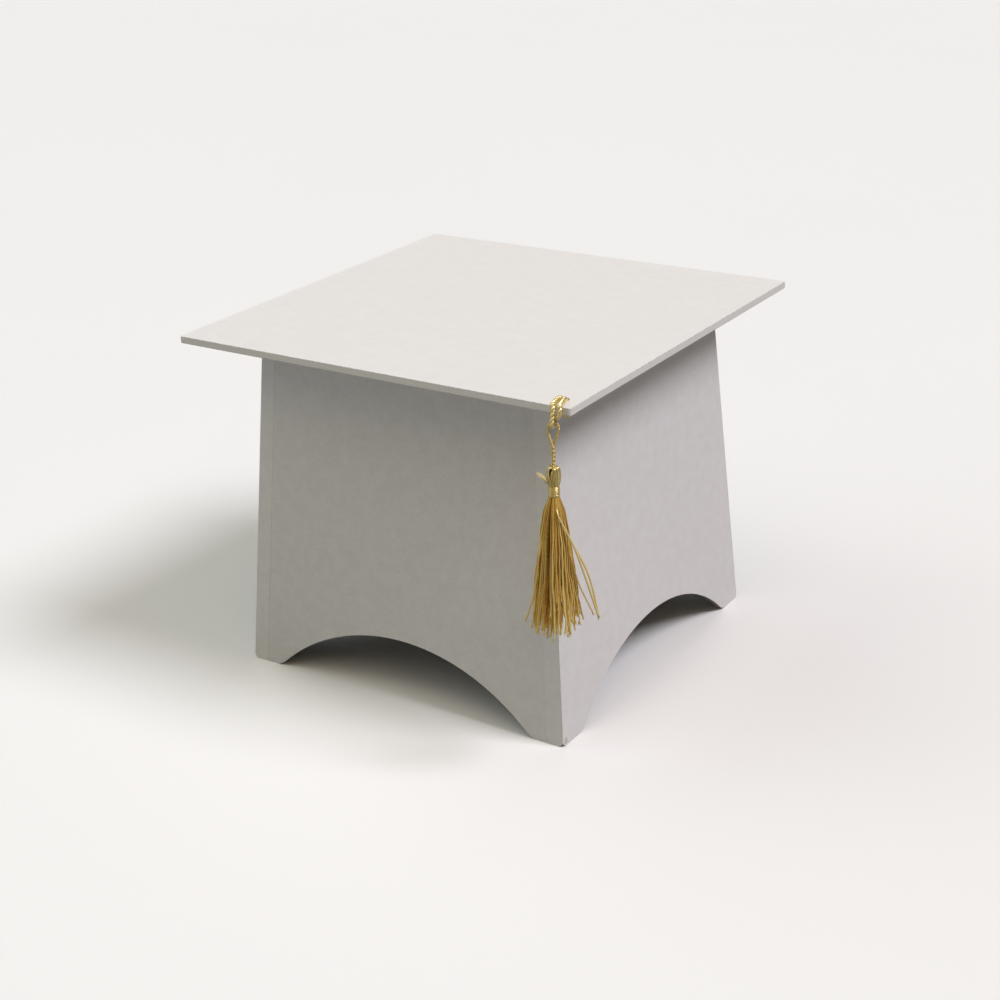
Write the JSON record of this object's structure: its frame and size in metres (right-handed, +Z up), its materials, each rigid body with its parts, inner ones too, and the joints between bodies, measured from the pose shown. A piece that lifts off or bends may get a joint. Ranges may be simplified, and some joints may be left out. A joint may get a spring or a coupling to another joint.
{
  "type": "graduation cap",
  "caption": "White paper-covered board graduation cap: square lift-off mortarboard lid on a flared body with scalloped feet, and a gold tassel hanging at one corner.",
  "frame": {"origin": "centre of the plane that the four feet stand on", "axes": "+Z up; -Y is the front wall, over whose board edge the tassel hangs; +X is the right wall, on the tassel's side"},
  "size_m": [0.1836, 0.1915, 0.1477],
  "materials": {
    "greyboard": "matt greyboard",
    "white_wrap_paper": "matt coated white paper",
    "white_lining_paper": "uncoated white paper",
    "stay_paper": "gummed paper tape",
    "gold_cord": "twisted metallic gold cord",
    "gold_thin_cord": "thin twisted gold cord",
    "gold_yarn": "glossy rayon yarn",
    "gold_satin": "gold satin thread"
  },
  "bodies": {
    "box": {"wall_board_front": "greyboard", "wall_board_right": "greyboard", "wall_board_back": "greyboard", "wall_board_left": "greyboard", "wall_cover_front": "white_wrap_paper", "wall_cover_right": "white_wrap_paper", "wall_cover_back": "white_wrap_paper", "wall_cover_left": "white_wrap_paper", "wall_lining_front": "white_lining_paper", "wall_lining_right": "white_lining_paper", "wall_lining_back": "white_lining_paper", "wall_lining_left": "white_lining_paper", "corner_stay_front_right": "stay_paper", "corner_stay_right_back": "stay_paper", "corner_stay_back_left": "stay_paper", "corner_stay_left_front": "stay_paper", "floor_ledge_front": "greyboard", "floor_ledge_right": "greyboard", "floor_ledge_back": "greyboard", "floor_ledge_left": "greyboard", "floor_board": "greyboard", "floor_paper": "white_lining_paper"},
    "lid": {"mortarboard_core": "greyboard", "mortarboard_wrap": "white_wrap_paper", "mortarboard_lining": "white_lining_paper", "collar_strip_front": "greyboard", "collar_strip_right": "greyboard", "collar_strip_back": "greyboard", "collar_strip_left": "greyboard", "collar_wrap": "white_wrap_paper", "hanger_cord": "gold_cord", "hanger_knot": "gold_cord"},
    "cord_loop": {"tassel_loop": "gold_thin_cord"},
    "cord_shank": {"tassel_shank": "gold_thin_cord"},
    "tassel": {"tassel_head": "gold_yarn", "tassel_neck_band": "gold_satin", "tassel_fringe": "gold_yarn", "band_tail": "gold_satin"}
  },
  "joints": [
    {"name": "lid_lift", "type": "slide", "parent": "box", "child": "lid", "axis": [0, 0, 1], "range_m": [0, 0.12]},
    {"name": "tassel_swing", "type": "hinge", "parent": "lid", "child": "cord_loop", "pos_m": [0.0836, -0.09128, 0.1404], "axis": [-1, 0, 0], "range_deg": [-5, 80]},
    {"name": "tassel_sway", "type": "hinge", "parent": "cord_loop", "child": "cord_shank", "pos_m": [0.0836, -0.0915, 0.1316], "axis": [0, 1, 0], "range_deg": [-60, 60]},
    {"name": "tassel_spin", "type": "hinge", "parent": "cord_shank", "child": "tassel", "pos_m": [0.0836, -0.0915, 0.124], "axis": [0, 0, 1], "range_deg": [-180, 180]}
  ]
}
